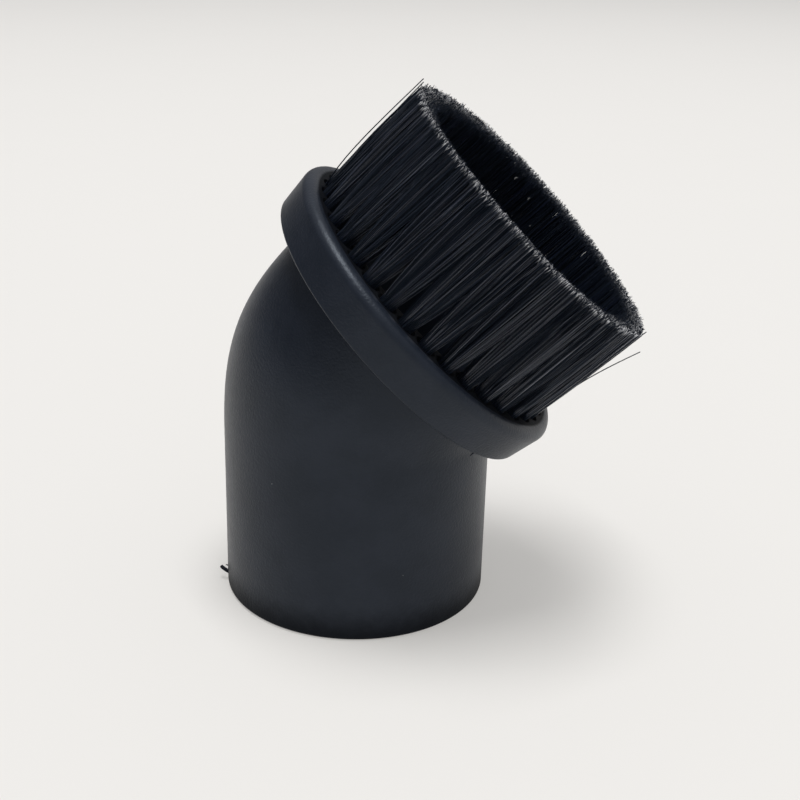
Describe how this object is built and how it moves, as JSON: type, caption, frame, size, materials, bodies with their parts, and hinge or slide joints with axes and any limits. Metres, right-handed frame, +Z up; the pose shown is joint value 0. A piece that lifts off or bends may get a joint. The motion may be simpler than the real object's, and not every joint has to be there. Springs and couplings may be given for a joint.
{
  "type": "angled vacuum nozzle",
  "caption": "Angled dusting nozzle for a vacuum wand: a round socket tube, a smooth elbow and a flared collar that carries a ring of bristle tufts round the suction mouth.",
  "frame": {"origin": "centre of the wand socket's mouth, on the plane that the tube stands on", "axes": "+Z up along the socket's axis, +X towards the side that the brush head leans to"},
  "size_m": [0.0568, 0.0472, 0.071],
  "materials": {
    "body_plastic": "black moulded plastic with a fine matte grain",
    "bristle": "black synthetic bristle with rough cut ends",
    "anchor_steel": "plain flat steel staple"
  },
  "bodies": {
    "root": {"nozzle_body": "body_plastic", "tuft_01": "bristle", "tuft_02": "bristle", "tuft_03": "bristle", "tuft_04": "bristle", "tuft_05": "bristle", "tuft_06": "bristle", "tuft_07": "bristle", "tuft_08": "bristle", "tuft_09": "bristle", "tuft_10": "bristle", "tuft_11": "bristle", "tuft_12": "bristle", "tuft_13": "bristle", "tuft_14": "bristle", "tuft_15": "bristle", "tuft_16": "bristle", "tuft_17": "bristle", "tuft_18": "bristle", "tuft_19": "bristle", "tuft_20": "bristle", "tuft_21": "bristle", "tuft_22": "bristle", "tuft_23": "bristle", "tuft_24": "bristle", "tuft_25": "bristle", "tuft_26": "bristle", "tuft_27": "bristle", "tuft_28": "bristle", "tuft_29": "bristle", "tuft_30": "bristle", "tuft_31": "bristle", "tuft_32": "bristle", "tuft_33": "bristle", "tuft_34": "bristle", "tuft_35": "bristle", "tuft_36": "bristle", "tuft_anchors": "anchor_steel"}
  },
  "joints": []
}
